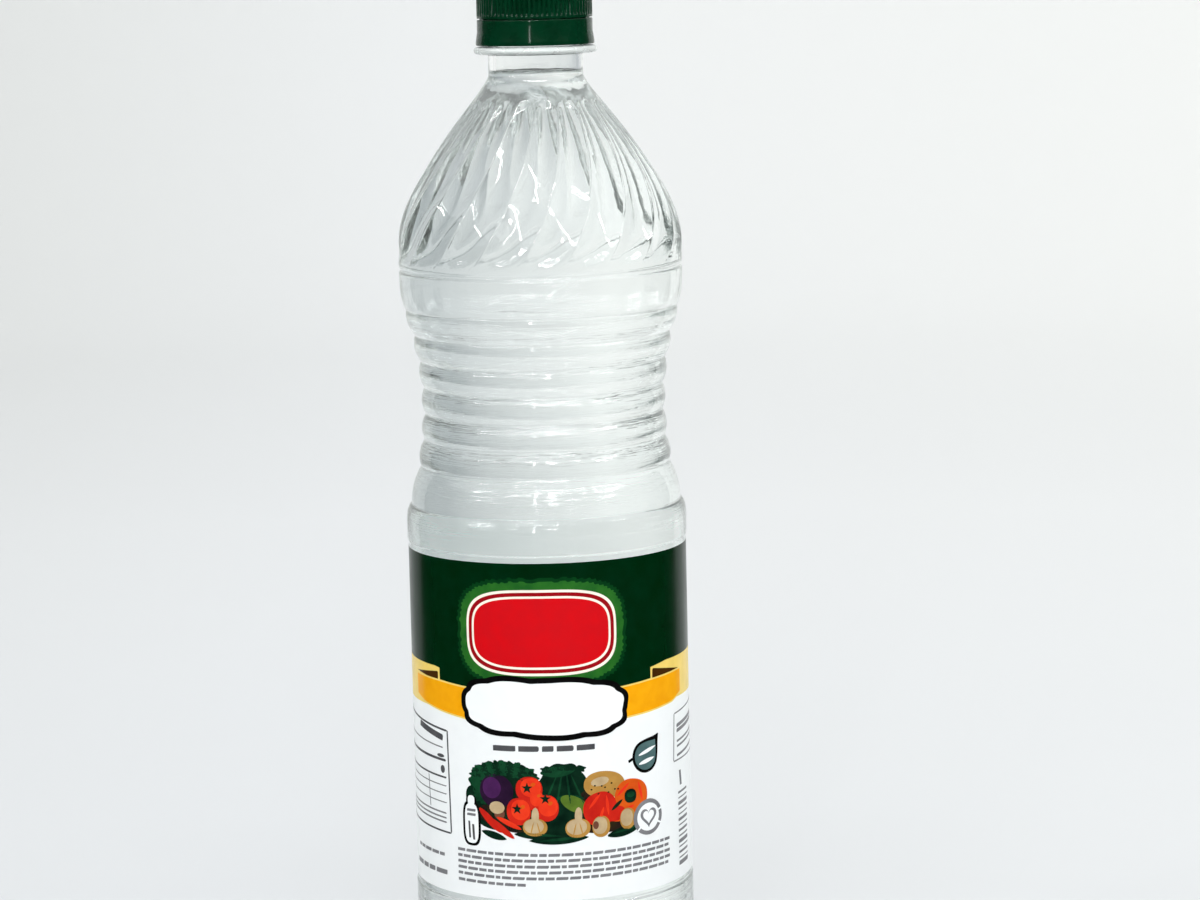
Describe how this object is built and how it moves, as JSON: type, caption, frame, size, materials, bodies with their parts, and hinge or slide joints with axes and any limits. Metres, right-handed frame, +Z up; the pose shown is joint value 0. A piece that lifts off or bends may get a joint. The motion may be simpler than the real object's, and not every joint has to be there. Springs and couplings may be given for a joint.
{
  "type": "vinegar bottle",
  "caption": "Clear plastic bottle of vinegar with a swirl-fluted shoulder, ringed waist, wrap-around label, screw cap and tamper band.",
  "frame": {"origin": "middle of the foot, on the surface the bottle stands on", "axes": "+Z up along the bottle's axis, the label's front faces -Y, +X to the right of someone facing the front"},
  "size_m": [0.0764, 0.0762, 0.2921],
  "materials": {
    "clear_plastic": "clear, glossy blown plastic",
    "vinegar": "clear colourless liquid",
    "label_film": "glossy printed film, dark green and white",
    "cap_plastic": "satin moulded plastic, dark green"
  },
  "bodies": {
    "root": {"bottle": "clear_plastic", "vinegar": "vinegar", "label": "label_film", "tamper_band": "cap_plastic", "cap": "cap_plastic"}
  },
  "joints": []
}
